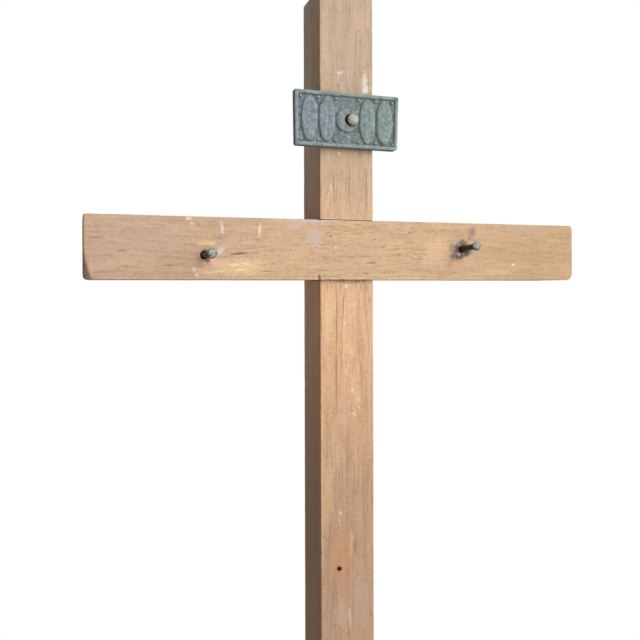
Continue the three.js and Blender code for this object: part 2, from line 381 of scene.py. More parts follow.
def triangles(faces):  # flat ones, since a cut through a bent face leaves a flaw
    return [(face[0], face[step], face[step + 1]) for face in faces for step in range(1, len(face) - 1)]


def carved(shape, cutters):  # the shape with the cutters taken away, one after another
    blank = newForm("blank", shape[0], triangles(shape[1]))
    tools = [newForm("tool", points, triangles(faces)) for points, faces in cutters]
    for tool in tools:
        cut = blank.modifiers.new("cut", "BOOLEAN")
        cut.operation = "DIFFERENCE"
        cut.solver = "MANIFOLD"
        cut.object = tool
    graph = bpy.context.evaluated_depsgraph_get()
    result = bpy.data.meshes.new_from_object(blank.evaluated_get(graph))
    points = [vertex.co.copy() for vertex in result.vertices]
    faces = [tuple(face.vertices) for face in result.polygons]
    for spent in [blank, *tools]:
        data = spent.data
        bpy.data.objects.remove(spent)
        bpy.data.meshes.remove(data)
    bpy.data.meshes.remove(result)
    return points, faces


def wobbling(start, end, steps, reach, seed):  # an uneven line that meets both its ends
    path = []
    for step in range(steps + 1):
        share = step / steps
        x = start[0] + (end[0] - start[0]) * share
        z = start[1] + (end[1] - start[1]) * share
        push = noise.noise_vector(Vector((x, z, seed)) * 0.35) * reach * math.sin(math.pi * share)
        path.append((x + push.x, z + push.y))
    return path


# The two sticks
def sectionRing(halfWidth, halfDepth, radii, cells, arcSteps=4):
    # Counter-clockwise from the right back corner; a point is (across, depth).
    arcs = []
    for index, (signA, signB) in enumerate([(1, 1), (-1, 1), (-1, -1), (1, -1)]):
        radius = radii[index]
        centre = (signA * (halfWidth - radius), signB * (halfDepth - radius))
        angles = [index * math.pi / 2 + math.pi / 2 * step / arcSteps for step in range(arcSteps + 1)]
        arcs.append([
            (centre[0] + radius * math.cos(angle), centre[1] + radius * math.sin(angle)) for angle in angles
        ])
    ring = []
    for index, arc in enumerate(arcs):
        ring += arc
        begin, end = arc[-1], arcs[(index + 1) % 4][0]
        for step in range(1, cells[index]):
            share = step / cells[index]
            ring.append((begin[0] + (end[0] - begin[0]) * share, begin[1] + (end[1] - begin[1]) * share))
    return ring


def stations(length, endRadius, step, arcSteps=5):  # (place along the stick, how far the section draws in)
    ends = []
    for index in range(arcSteps):
        angle = math.pi / 2 * index / arcSteps
        ends.append((endRadius * (1 - math.cos(angle)), endRadius * (1 - math.sin(angle))))
    straight = length - 2 * endRadius
    cells = round(straight / step)
    rows = [(-length / 2 + along, inset) for along, inset in ends]
    rows += [(-length / 2 + endRadius + straight * index / cells, 0.0) for index in range(cells + 1)]
    rows += [(length / 2 - along, inset) for along, inset in reversed(ends)]
    return rows


# The sticks' unevenness, in waves per millimetre across and along.
waves = {
    "edge": 0.16, "nibble": 0.62,
    "nibbleFrom": 0.28,  # where the noise starts to nibble
    "sway": (0.05, 0.03), "ripple": (0.9, 0.07), "end": 0.8,
}


def stickShape(look):
    # Lies along its own third axis; its back is at depth 0 and its front at frontY.
    halfWidth = look["width"] / 2
    halfDepth = -frontY / 2
    rings = []
    seed = look["seed"]
    for along, inset in stations(look["length"], look["endRadius"], look["step"]):
        radii = []
        for corner in range(4):
            lump = noise.noise(Vector((along * waves["edge"], corner * 7.3, seed)))
            nibble = noise.noise(Vector((along * waves["nibble"], corner * 3.1 + 40, seed)))
            nibble = max(0.0, nibble - waves["nibbleFrom"])
            radius = look["arris"][corner] * (1 + 0.45 * lump) + nibble * look["nibbles"] - inset * 0.4
            radii.append(max(0.12, radius))
        ring = []
        for across, depth in sectionRing(halfWidth - inset, halfDepth - inset, radii, look["cells"]):
            place = Vector((across, depth, along))
            outward = Vector((across / halfWidth, depth / halfDepth, 0))
            push = 0
            for kind, shift in (("sway", Vector((seed, 0, 0))), ("ripple", Vector((0, seed, 0)))):
                wide, long = waves[kind]
                push += look[kind] * noise.noise(Vector((across * wide, depth * wide, along * long)) + shift)
            if abs(outward.x) > abs(outward.y):
                place.x += math.copysign(push, across)
            else:
                place.y += math.copysign(push, depth)
            place.y -= halfDepth
            ring.append(place)
        rings.append(ring)
    for end, inward in ((0, 1), (-1, -1)):
        outline = rings[end]
        middle = sum(outline, Vector()) / len(outline)
        for factor in (0.86, 0.62, 0.36, 0.12):
            drawn = []
            for point in outline:
                spotOn = middle.lerp(point, factor)
                lump = noise.noise(spotOn * waves["end"] + Vector((seed, 5, 0)))
                spotOn.z += inward * (0.05 + 0.06 * lump)
                drawn.append(spotOn)
            rings.insert(0 if end == 0 else len(rings), drawn)
    return skinned(rings)


def pressed(points, corner, normal, soft):  # what stands past a plane is worn back onto it
    for point in points:
        past = (point - corner).dot(normal)
        if past > -soft:
            push = past if past > soft else (past + soft) ** 2 / (4 * soft)
            point -= normal * push


def dented(points, dents, seed):  # (x, z, half width, half height, depth) on the front
    for x, z, wide, high, depth in dents:
        for point in points:
            if point.y > frontY + 1.6:
                continue
            reach = math.hypot((point.x - x) / wide, (point.z - z) / high)
            reach += 0.25 * noise.noise(Vector((point.x * 1.6, seed, point.z * 1.6)))
            if reach < 1:
                point.y += depth * (1 - reach * reach) ** 1.2


def pilotHole(pin, radius, grip, sides=24):
    bore = turned([(radius, -grip), (radius, 1.5)], sides)
    return moved(bore, pinPlace(pin))


def pinPlace(pin):
    turn = Euler((0, 0, math.radians(180 + pin["lean"]))).to_matrix()
    turn = turn @ Matrix.Rotation(math.radians(pin["rise"]), 3, "X")
    place = Vector((pin["place"][0], frontY, pin["place"][1])) + crossing
    return Matrix.Translation(place) @ turn.to_4x4()


leftPin = {"place": (-31.1, -1.37), "lean": 5.2, "rise": 0.6, "seed": 3.0}
rightPin = {"place": (28.1, 0.64), "lean": 2.7, "rise": 3.3, "seed": 9.0}
titleNail = {"place": (0.77, 28.08), "lean": 0.0, "rise": 0.0, "seed": 6.0}

# Cracks are (x0, z0, x1, z1, width, depth) from the crossing's middle, on the front.
uprightSettings = {
    "width": 12.2, "length": 183.0, "middle": -34.5, "step": 0.7,
    "arris": (0.2, 0.2, 0.2, 0.2),  # the rounding of each long edge
    "nibbles": 0.5, "endRadius": 0.5, "cells": (14, 12, 34, 12), "sway": 0.05, "ripple": 0.03,
    "seed": 2.7,
    "topWear": (-0.55, 0.35),  # where the top end's back edge is worn from, and how softly
    "housings": [(-6.47, 6.62, 6.3), (-6.6, -6.3, 0.5)],  # from, to and how deep; the second is the open line
    "footHole": {"place": (-1.95, -69.35), "lean": 0, "rise": 0},
    "footHoleSize": (0.54, 1.4, 14),  # radius, depth and sides
    "nailHoleSize": (0.95, 6.7), "stapleHoles": (-1.6, 1.6), "stapleHoleSize": (0.8, 6.2),
    "cracks": [
        (-2.36, -7.2, -2.42, -15.0, 0.14, 0.26), (-2.45, -17.2, -2.5, -25.5, 0.13, 0.22),
        (-0.52, -7.0, -0.9, -13.0, 0.13, 0.22),
    ],
}
crossbarSettings = {
    "width": 13.0, "length": 112.6, "middle": 1.2, "rise": 0.05, "step": 0.42,
    "arris": (0.26, 0.26, 0.26, 0.12),  # the lower front edge last
    "nibbles": 0.6, "endRadius": 0.38, "cells": (12, 14, 12, 38), "sway": 0.05, "ripple": 0.03,
    "seed": 8.1,
    "knocked": (1.6, 2.1, 5.4, 0.35),  # the lower left corner: along, deep, up, and how softly
    "wear": ((1, 1, 0.33), (1, -1, 0.75), (-1, -1, 0.4)),  # corners: right or left, up or down, how far
    "wearSoft": 0.45,
    "notch": (6.15, 6.2),  # half its width, and how far behind the front it starts
    "leftHoleSize": (0.925, 7.7), "rightHoleSize": (0.8, 7.7),
    "cracks": [(-26.2, -1.22, -22.2, -0.88, 0.18, 0.3)],
    "dents": [
        (27.5, 0.4, 1.6, 1.7, 0.4), (26.5, -0.5, 1.3, 1.5, 0.3), (27.5, 2.0, 0.9, 0.9, 0.25),
        (-31.0, -2.1, 1.0, 1.2, 0.45), (-6.4, -6.2, 0.55, 0.75, 0.6), (-6.2, 6.7, 0.5, 0.5, 0.4),
    ],
}


def crackCutters(look):
    cutters = []
    for index, (x0, z0, x1, z1, width, depth) in enumerate(look["cracks"]):
        steps = max(10, round(math.hypot(x1 - x0, z1 - z0) / 0.5))
        path = wobbling((x0, z0), (x1, z1), steps, 0.1, look["seed"] + index)
        cutters.append(moved(splinter(path, width, depth), Matrix.Translation(crossing)))
    return cutters


def makeUpright(look, finish):
    lift = Matrix.Translation((0, 0, look["middle"] + crossingZ))
    points, faces = moved(stickShape(look), lift)
    edge, soft = look["topWear"]
    top = look["middle"] + look["length"] / 2 + crossingZ
    pressed(points, Vector((0, edge, top)), Vector((0, 1, 1)).normalized(), soft)
    cutters = []
    for low, high, depth in look["housings"]:
        cutters.append(slab((-8, frontY - 2, low + crossingZ), (8, frontY + depth, high + crossingZ)))
    cutters.append(pilotHole(look["footHole"], *look["footHoleSize"]))
    cutters.append(pilotHole(titleNail, *look["nailHoleSize"]))
    cutters += crackCutters(look)
    radius, depth = look["stapleHoleSize"]
    for z in look["stapleHoles"]:
        leg = turned([(radius, -1.5), (radius, depth)], 16)
        cutters.append(moved(leg, Matrix.Translation((0, 0, z)) @ Matrix.Rotation(math.pi, 4, "Z")))
    shape = carved((points, faces), cutters)
    addPiece("upright_stick", shape, finish, "cross", "upright")


def makeCrossbar(look, finish):
    # The stick's third axis becomes X, and its width becomes Z.
    lay = Matrix(((0, 0, 1, look["middle"]), (0, 1, 0, 0), (-1, 0, 0, look["rise"]), (0, 0, 0, 1)))
    points, faces = moved(stickShape(look), lay)
    dented(points, look["dents"], look["seed"])
    bottom = look["rise"] - look["width"] / 2
    leftCorner = Vector((look["middle"] - look["length"] / 2, frontY, bottom))
    along, deep, high, soft = look["knocked"]
    knocked = Vector((1 / along, 1 / deep, 1 / high))
    pressed(points, leftCorner + Vector((along, 0, 0)), -knocked.normalized(), soft)
    for aside, up, wear in look["wear"]:
        x = look["middle"] + aside * look["length"] / 2
        corner = Vector((x, 0, look["rise"] + up * look["width"] / 2))
        outward = Vector((aside, 0, up)).normalized()
        pressed(points, corner - outward * wear, outward, look["wearSoft"])
    points, faces = moved((points, faces), Matrix.Translation(crossing))
    half, depth = look["notch"]
    cutters = [
        slab((-half, frontY + depth, -9 + crossingZ), (half, 2, 9 + crossingZ)),
        pilotHole(leftPin, *look["leftHoleSize"]),
        pilotHole(rightPin, *look["rightHoleSize"]),
        *crackCutters(look),
    ]
    shape = carved((points, faces), cutters)
    addPiece("crossbar_stick", shape, finish, "cross", "crossbar")


# Wood. A stick's three tones follow one another, and changes say where along it.
# A line is (x0, z0, x1, z1, width, strength); a patch, in the tone that it stands under, is
# (x, z, half width, half height, strength, turn if it has one).
woodLook = {
    "shade": (0.8, 0.755, 0.7, 1),
    "shine": (1.09, 1.095, 1.1, 1),
    # This multiplier is painted shade, darkening the sticks' sides and backs.
    "paintedSideShade": (0.74, 0.66, 0.57, 1),
    "pore": paint(118, 84, 58), "endGrain": paint(158, 128, 100), "yearRing": paint(124, 94, 70),
    "ash": paint(192, 166, 144), "rose": paint(222, 184, 160), "rust": paint(200, 148, 112),
    # Of these, the darkest brown is painted shade, in the foot hole and under the left pin.
    "straw": paint(240, 202, 152), "umber": paint(150, 122, 110), "paintedBrownShade": paint(106, 68, 52),
    # Of these, the near-black is painted shade, for holes and the pins' bases.
    "slate": paint(84, 84, 98), "paintedShadow": paint(38, 37, 34), "lilac": paint(204, 190, 194),
    # The last tone here is painted shade, for the inside of the joint.
    "chalk": paint(228, 218, 212), "chip": paint(248, 228, 196), "gap": paint(80, 57, 44),
    "heart": (9, 19, 11),  # how far off the middle of the year rings lies
    "ringDensity": 5.5,
    "patchSpread": 1.35,  # a patch fades out this far from its middle, in half widths
    "patchDepth": 2.0,
    "crumbly": 0.6,  # the edges of patches smaller than this are finely broken
    "bump": 0.45, "bumpDepth": 0.09, "ior": 1.45, "specular": 0.25,
}


def housingShade(x, y, z):  # painted shade inside the joint, seen through its open line
    inside = between(z * z, 45.4, 44.0)  # squared, for both shoulders at once
    return inside * between(y, frontY + 0.05, frontY + 0.5) * between(y, -5.7, -6.0)


def notchShade(x, y, z):  # and painted shade on the crossbar's underside in front of it
    return between(x * x, 38.4, 37.0) * between(z, -6.05, -6.3) * between(y, frontY + 0.25, frontY + 0.7)


uprightPatches = {
    "ash": [
        (-0.3, 45.8, 6.9, 9.6, 0.3), (4.4, -8.0, 2.1, 2.2, 0.5), (3.4, -76.0, 2.6, 12.0, 0.4),
        (-1.3, -79.0, 2.1, 3.9, 0.6),
    ],
    "rose": [
        (3.2, 50.1, 1.9, 3.5, 0.4), (-0.5, -37.0, 2.8, 3.9, 0.35), (0.4, -49.1, 0.45, 0.35, 0.7),
        (-1.8, -58.9, 0.4, 0.7, 0.6), (0.4, -79.9, 0.5, 3.5, 0.7),
    ],
    "rust": [(-3.9, -7.6, 1.6, 1.3, 0.45), (-1.6, -66.8, 3.8, 7.6, 0.75), (-0.2, -72.4, 1.5, 2.8, 0.45)],
    "straw": [
        (-5.0, 43.2, 1.3, 11.7, 0.22), (-5.75, -45.0, 0.5, 38.0, 0.42), (-4.6, -53.5, 1.6, 11.0, 0.36),
        (-4.7, -13.5, 1.5, 7.0, 0.32), (0.8, -64.2, 0.7, 3.6, 0.22), (-4.2, 10.8, 0.4, 3.9, 0.7),
        (0.4, -21.3, 1.9, 2.8, 0.5, 0.2), (-0.8, -23.3, 0.4, 1.1, 0.7, 0.5),
        (2.6, -32.7, 0.4, 0.9, 0.75, 0.5), (1.6, -35.5, 0.35, 0.9, 0.75, -0.7),
    ],
    "umber": [(4.5, 12.2, 0.5, 7.0, 0.5), (1.8, -52.9, 0.8, 0.8, 0.5), (1.9, -64.5, 0.7, 2.8, 0.55)],
    # painted shade in and round the foot hole
    "paintedBrownShade": [(-1.75, -69.0, 0.75, 1.0, 0.55, 0.5)],
    # painted shade inside the nail's hole, seen through the plate's hole
    "paintedShadow": [(0.3, 28.1, 3.6, 3.4, 0.97)],
    "lilac": [(-1.9, 37.0, 1.1, 1.3, 0.45)],
    "chalk": [(-1.6, 38.6, 1.1, 0.6, 0.8, 0.4), (4.2, 36.8, 1.0, 2.8, 0.9), (4.4, 35.5, 1.1, 1.4, 1.5)],
    "chip": [
        (-3.6, 13.4, 0.4, 1.7, 0.6), (-1.7, 21.0, 0.5, 0.4, 0.9), (-0.6, -15.9, 0.4, 0.5, 0.9),
        (-0.2, -7.9, 0.5, 0.7, 0.7), (1.2, -30.6, 0.35, 0.45, 0.9), (-1.6, -57.2, 0.35, 0.4, 0.9),
    ],
}
uprightMarks = {
    "along": 2, "across": (1, 1, 0), "grain": (1, 1, 0.035), "blotch": (0.5, 0.5, 0.12),
    "hair": (3.6, 3.6, 0.11), "hairStrength": 0.65, "pore": (2.0, 2.0, 0.16), "poreStrength": 0.22,
    "porous": (-30, 10, 70, 90), "inside": housingShade,
    "tones": [paint(193, 168, 143), paint(226, 184, 145), paint(187, 153, 126)],
    "changes": [(28, -8), (-12, -64)],
    "lines": [
        (-2.36, -6.4, -2.5, -23.0, 0.36, 0.6), (-2.5, -21.0, -2.47, -37.2, 0.32, 0.52),
        (-0.48, -6.4, -1.22, -18.5, 0.36, 0.5), (-1.18, -16.0, -1.29, -27.0, 0.28, 0.38),
        (-3.93, -19.5, -3.95, -26.0, 0.24, 0.26), (-3.66, -29.5, -3.68, -35.0, 0.26, 0.24),
        (5.08, -16.0, 5.05, -24.5, 0.28, 0.5), (5.33, -9.0, 5.34, -13.5, 0.3, 0.4),
        (3.17, -23.5, 3.16, -27.5, 0.36, 0.38), (2.1, -32.4, 2.3, -36.0, 0.34, 0.36),
        (2.7, -35.0, 3.05, -38.6, 0.26, 0.3), (1.57, -45.6, 1.55, -52.0, 0.26, 0.34),
        (1.59, -62.0, 1.81, -68.4, 0.42, 0.34), (2.13, 47.5, 2.12, 40.8, 0.28, 0.34),
        (-2.98, 20.2, -3.01, 6.5, 0.28, 0.38), (-0.26, 20.2, -0.3, 6.5, 0.24, 0.3),
        (0.62, 20.2, 0.58, 6.5, 0.28, 0.46), (-4.49, -6.5, -4.49, -9.4, 0.28, 0.48),
        (-2.55, -6.5, -2.57, -9.2, 0.3, 0.45), (-1.58, -6.5, -1.59, -9.0, 0.3, 0.48),
        (3.22, -6.5, 3.21, -9.2, 0.34, 0.42), (4.46, -6.5, 4.45, -9.8, 0.36, 0.44),
        # The second line here is wide and darkens the upright just below the crossbar.
        (4.75, -6.5, 4.74, -9.2, 0.3, 0.36), (-13.0, -6.66, 13.0, -6.66, 1.25, 0.85),
    ],
    "scratches": [
        (-0.7, -27.0, 0.7, -24.4, 0.3, 0.55), (0.7, -24.4, 1.8, -22.2, 0.26, 0.45),
        (-0.3, -26.6, -0.1, -28.7, 0.26, 0.4), (2.7, -32.6, 1.8, -33.6, 0.3, 0.7),
        (1.8, -33.6, 3.2, -35.0, 0.3, 0.6), (1.1, -35.3, 2.2, -36.5, 0.3, 0.75),
        (-0.3, -36.1, 1.3, -35.6, 0.26, 0.55), (3.4, -32.4, 3.7, -34.2, 0.26, 0.5),
        (-1.7, -44.1, -0.1, -45.8, 0.26, 0.3),
    ],
}
crossbarPatches = {
    "ash": [
        (-52.6, -0.2, 2.7, 6.7, 0.45), (-42.1, 1.9, 7.9, 3.2, 0.35), (-23.7, 5.8, 10.5, 1.0, 0.9),
        (45.2, 5.2, 10.2, 0.9, 0.8),
    ],
    # The second rose patch lightens the knocked lower left corner, which faces away from the lamp: painted
    # light.
    "rose": [(-28.7, -2.6, 3.1, 0.8, 1.0), (-54.0, -4.8, 1.3, 2.6, 0.7, 0.15)],
    "rust": [(25.0, -2.8, 2.0, 1.1, 0.7, 0.7), (22.9, -5.1, 2.0, 1.1, 0.5, 0.6), (39.1, -1.8, 1.1, 0.7, 0.4)],
    "straw": [
        (-22.9, -3.9, 8.6, 2.5, 0.72, 0.05), (-30.8, -4.9, 2.9, 1.9, 0.4, 0.1),
        (-31.0, 0.9, 2.9, 0.8, 0.45, 0.1), (21.8, 0.3, 4.6, 3.8, 0.45, 0.2), (36.5, -4.6, 8.0, 1.0, 0.3),
    ],
    "umber": [
        (26.7, 0.5, 2.2, 2.6, 1.15), (26.6, -1.0, 2.2, 1.4, 1.3, 0.1), (30.5, 4.6, 1.4, 1.7, 0.85, -0.2),
        (25.8, 0.7, 1.6, 1.9, 0.85, 0.2), (29.2, -0.6, 0.9, 0.6, 0.65, -0.5), (29.9, 3.1, 0.8, 1.0, 0.7),
    ],
    # painted shadow under the left pin
    "paintedBrownShade": [(-30.6, -2.4, 0.9, 0.8, 0.85, 0.3)],
    "slate": [
        (27.8, 2.2, 0.9, 1.1, 0.65), (27.0, 0.7, 1.6, 1.3, 0.65, 0.6), (29.4, -0.2, 1.9, 1.1, 0.55, 0.5),
        (27.3, -1.1, 1.9, 0.9, 0.75, 0.15), (25.9, -0.9, 1.0, 0.7, 0.4, 0.3),
    ],
    # painted shadow and shade round both pins' bases
    "paintedShadow": [
        (-31.1, -1.2, 1.1, 1.4, 0.92), (28.7, 1.4, 1.4, 1.4, 0.8, -0.5), (28.7, 0.2, 2.2, 1.7, 0.95, -0.3),
    ],
    "lilac": [
        (-27.6, 5.5, 0.9, 0.8, 0.75), (-12.0, 5.3, 3.1, 1.3, 0.35), (-7.3, 2.3, 2.1, 3.2, 0.5),
        (-27.4, 0.3, 1.2, 0.7, 0.65), (-7.6, 6.4, 9.0, 0.8, 0.9), (26.3, 2.1, 0.8, 0.7, 0.75, 0.6),
        (25.9, 0.6, 0.6, 0.4, 0.4, 0.5),
    ],
    "chalk": [(-27.5, 4.2, 0.65, 1.6, 0.9), (-27.8, -0.5, 1.3, 1.0, 0.6), (27.4, -0.6, 0.5, 0.6, 0.95)],
    "chip": [
        (-33.2, -4.3, 0.6, 0.55, 0.8, 0.4), (-24.8, -3.4, 1.5, 0.4, 0.6, 0.1),
        (-22.4, -3.2, 1.2, 0.4, 0.6, 0.2), (-23.4, -4.3, 1.6, 0.4, 0.6), (-28.2, -4.7, 1.6, 0.4, 0.45),
        (-32.7, -5.6, 0.8, 0.5, 0.75, -0.5), (-34.5, 6.0, 1.0, 0.6, 0.9, 0.2),
        (-33.8, 5.2, 0.7, 0.35, 0.8, -0.6), (-19.5, 4.2, 0.5, 2.1, 0.75), (-29.6, 1.1, 0.9, 0.4, 0.55),
        (41.3, -2.9, 0.5, 0.4, 0.98), (-2.6, 0.5, 0.45, 0.35, 0.8),
    ],
}
crossbarMarks = {
    "along": 0, "across": (0, 1, 1), "grain": (0.075, 1, 1), "blotch": (0.28, 0.5, 0.5),
    "hair": (0.2, 3.4, 3.4), "hairStrength": 0.4, "pore": (0.36, 2.0, 2.0), "poreStrength": 0.34,
    "porous": (-12, 4, 18, 32), "inside": notchShade,
    "tones": [paint(203, 171, 145), paint(211, 176, 142), paint(199, 166, 127)],
    "changes": [(-42, -8), (16, 50)],
    "lines": [
        (-26.4, -1.26, -21.4, -0.8, 0.38, 0.9), (-22.6, -0.92, -19.2, -0.74, 0.3, 0.45),
        (-35.4, 0.6, -32.2, 1.02, 0.34, 0.38), (-38.0, 0.36, -35.1, 0.62, 0.28, 0.28),
        (-40.6, -3.8, -35.0, -3.2, 0.28, 0.34), (-55.2, 1.86, -50.6, 1.88, 0.32, 0.55),
        (-48.8, -0.66, -46.2, -0.57, 0.3, 0.4), (-24.5, 1.7, -22.6, 1.8, 0.3, 0.44),
        (-21.2, 1.98, -19.0, 2.08, 0.28, 0.4), (-22.7, 0.05, -20.4, 0.17, 0.28, 0.44),
        (-19.9, -4.73, -15.8, -4.63, 0.32, 0.58), (-13.2, -0.16, -12.4, -0.1, 0.3, 0.42),
        (-4.2, 2.93, -3.1, 2.92, 0.46, 0.55), (-5.4, 5.06, -2.3, 5.2, 0.32, 0.38),
        (-2.6, -0.2, -0.3, -0.09, 0.36, 0.6), (-3.8, -0.48, -2.4, -0.4, 0.28, 0.4),
        (-1.4, 4.11, 1.4, 4.2, 0.28, 0.36), (4.7, 4.03, 9.7, 4.22, 0.28, 0.34),
        (7.1, 0.66, 9.6, 0.95, 0.36, 0.6), (10.2, 0.43, 12.2, 0.2, 0.32, 0.55),
        (3.8, -2.85, 7.6, -2.57, 0.36, 0.64), (14.8, -1.96, 19.1, -1.81, 0.4, 0.36),
        (-7.9, -4.44, -3.4, -4.32, 0.34, 0.5), (-9.8, -4.35, -7.6, -4.4, 0.28, 0.36),
        (6.7, -4.95, 13.5, -4.62, 0.32, 0.34), (45.2, -0.76, 55.4, -1.4, 0.5, 0.2),
        (24.6, 4.95, 21.5, 4.6, 0.46, 0.3), (21.8, 4.66, 20.1, 1.85, 0.5, 0.28),
        (-7.7, 0.52, -6.3, 0.5, 0.42, 0.4), (14.0, 6.58, 57.4, 6.58, 0.26, 0.4),
        (-6.5, -6.35, -6.1, -5.5, 0.55, 0.85),
    ],
    "scratches": [
        (-26.6, -3.1, -24.6, -3.7, 0.34, 0.6), (-23.8, -2.9, -22.0, -3.1, 0.34, 0.6),
        (-25.4, -4.6, -22.4, -4.4, 0.34, 0.55), (-21.6, -3.6, -20.0, -3.4, 0.34, 0.45),
        (-31.6, -5.2, -28.8, -5.0, 0.34, 0.4), (-27.4, -5.6, -24.0, -5.5, 0.3, 0.4),
        # The last, along the whole lower edge, is a painted highlight on the downward-facing arris.
        (-55.0, -6.4, 57.0, -6.4, 0.6, 0.6),
    ],
}


def woodFinish(name, look, marks, patches):
    finish, wire = newFinish(name)
    place = millimetres(wire, (0, 0, -crossingZ))  # from the crossing's middle
    axes = [axisOf(place, axis) for axis in range(3)]
    along = axes[marks["along"]]
    drawn = wandering(place, 0.5, (1.3, 1.3, 1.3))
    swaying = wandering(place, 0.04, (2.4, 2.4, 2.4))
    grain = placed(swaying, marks["grain"])
    fibre = cloud(grain, 1.6, 3.0, 0.62)
    streak = cloud(grain, 0.5, 2.0, 0.5)
    blotch = cloud(placed(place, marks["blotch"]), 1.0, 3.0, 0.6)
    speck = cloud(place, 1.5, 2.0, 0.6)
    fine = cloud(place, 3.2, 3.0, 0.7)
    crumbled = wandering(place, 2.0, (0.8, 0.8, 0.8))
    hair = cloud(placed(swaying, marks["hair"]), 1.0, 2.0, 0.6)

    drift = along + (blotch - 0.5) * 16
    colour = marks["tones"][0]
    for tone, (start, end) in zip(marks["tones"][1:], marks["changes"]):
        colour = mixed(colour, tone, between(drift, start, end))
    for cover, none, full, strength, tone in (
        (fibre, 0.54, 0.3, 0.5, "shade"),
        (fibre, 0.48, 0.72, 0.7, "shine"),
        (streak, 0.5, 0.28, 0.35, "shade"),
        (streak, 0.52, 0.72, 0.5, "shine"),
        (blotch, 0.5, 0.28, 0.25, "shade"),
        (blotch, 0.52, 0.74, 0.4, "shine"),
        (hair, 0.5, 0.66, marks["hairStrength"], "shade"),
        (speck, 0.5, 0.34, 0.5, "shade"),
        (fine, 0.5, 0.64, 0.85, "shine"),
    ):
        colour = mixed(colour, look[tone], between(cover, none, full) * strength, "MULTIPLY")

    dash = cloud(placed(swaying, marks["pore"], (7, 3, 5)), 1.0, 1.0, 0.45)
    rising, full, falling, bare = marks["porous"]
    porous = between(along, rising, full, 0.35, 1.0) * between(along, falling, bare, 1.0, 0.15)
    ragged = speck * 0.4 + fine * 0.3 + fibre * 0.3
    pores = between(dash, 0.63, 0.73) * porous * marks["poreStrength"]
    for kind, places in patches.items():
        covers = []
        for x, z, wide, high, strength, *turn in places:
            edged = crumbled if min(wide, high) < look["crumbly"] else drawn
            half = (wide * look["patchSpread"], look["patchDepth"], high * look["patchSpread"])
            inside = spot(edged, (x, frontY, z), half, sum(turn), 0.0)
            covers.append(inside * between(ragged + inside * 0.35, 0.52, 0.76) * strength)
        colour = mixed(colour, look[kind], strongest(covers))
    broken = between(fine * 0.5 + hair * 0.5, 0.42, 0.58, 0.6, 1.1)  # lines are fainter in places
    marked = strongest([pores] + [stroke(place, line) * broken for line in marks["lines"]])
    scratched = strongest([stroke(place, line) for line in marks["scratches"]])
    colour = mixed(colour, look["pore"], marked)
    colour = mixed(colour, look["chip"], scratched * between(fine, 0.4, 0.6, 0.3, 1.0))

    endwise = facing(wire, marks["along"])
    end = between(endwise * endwise, 0.5, 0.9)
    heart = lengthOf(placed(drawn, marks["across"], look["heart"]))
    years = wire.node("Math", {"operation": "SINE"}, {0: heart * look["ringDensity"]}) + (fine - 0.5) * 2.4
    endTone = mixed(look["endGrain"], look["yearRing"], between(years, -0.2, 0.9))
    colour = mixed(colour, endTone, end * 0.85)
    sideShade = between(facing(wire, 1), -0.8, -0.3) * (1 - end)  # painted shade: all but fronts and ends are darkened,
    sideShade = sideShade * between(facing(wire, 2), -0.9, -0.4, 0.6, 1.0)  # and undersides less, so they stay lighter, as painted light
    colour = mixed(colour, look["paintedSideShade"], sideShade, "MULTIPLY")
    # painted shade inside the joint
    colour = mixed(colour, look["gap"], marks["inside"](*axes))
    roughness = between(streak, 0.3, 0.7, 0.48, 0.62) + marked * 0.2 + end * 0.2
    finishOff(wire, look, colour, roughness, fibre * 0.5 + fine * 0.3 - hair * 0.3 - marked * 0.9)
    return finish


makeUpright(uprightSettings, woodFinish("uprightWood", woodLook, uprightMarks, uprightPatches))
makeCrossbar(crossbarSettings, woodFinish("crossbarWood", woodLook, crossbarMarks, crossbarPatches))
print("sticks made")


# The title plate: broad cast leaves between narrow grooves.
plateSettings = {
    "topWidth": 24.0, "bottomWidth": 23.5, "height": 11.95,
    "corners": (0.5, 0.95),  # left and right
    "field": 1.1, "relief": 0.5, "rim": 0.85,
    "rimHeight": 0.85,  # a share of the relief
    "wall": 0.42,  # how far a raised form's side takes to climb
    "ragged": 0.14,  # how unevenly it does
    "edge": 0.38,  # rounding of the plate's own edge
    "boss": 2.55, "leafHalf": 1.78, "leafHeight": 9.8, "leaves": (-8.55, -4.6, 4.6, 8.55),
    "vein": 0.16, "veinHalf": 0.34,
    "leafFall": 0.14,  # how much lower a leaf is at its edge
    "beads": (-10.5, -6.57, -2.63, 2.63, 6.57, 10.5), "beadDrop": 4.55, "beadRadius": 0.42,
    "beadHeight": 0.75,
    "cast": ((0.35, 3, 0.07), (1.1, 5, 0.05), (2.4, 6, 0.035)),  # waves per millimetre, seed, height
    "cell": 0.13, "tilt": 0.45, "shift": (-1.1, -0.1), "back": 0.15, "holeRadius": 1.32,
    "holeShift": -0.4, "seed": 4.4,
}


def eased(value):
    value = min(1.0, max(0.0, value))
    return value * value * (3 - 2 * value)


def plateHalfWidth(look, z):
    share = 0.5 + z / look["height"]
    return (look["bottomWidth"] + (look["topWidth"] - look["bottomWidth"]) * share) / 2


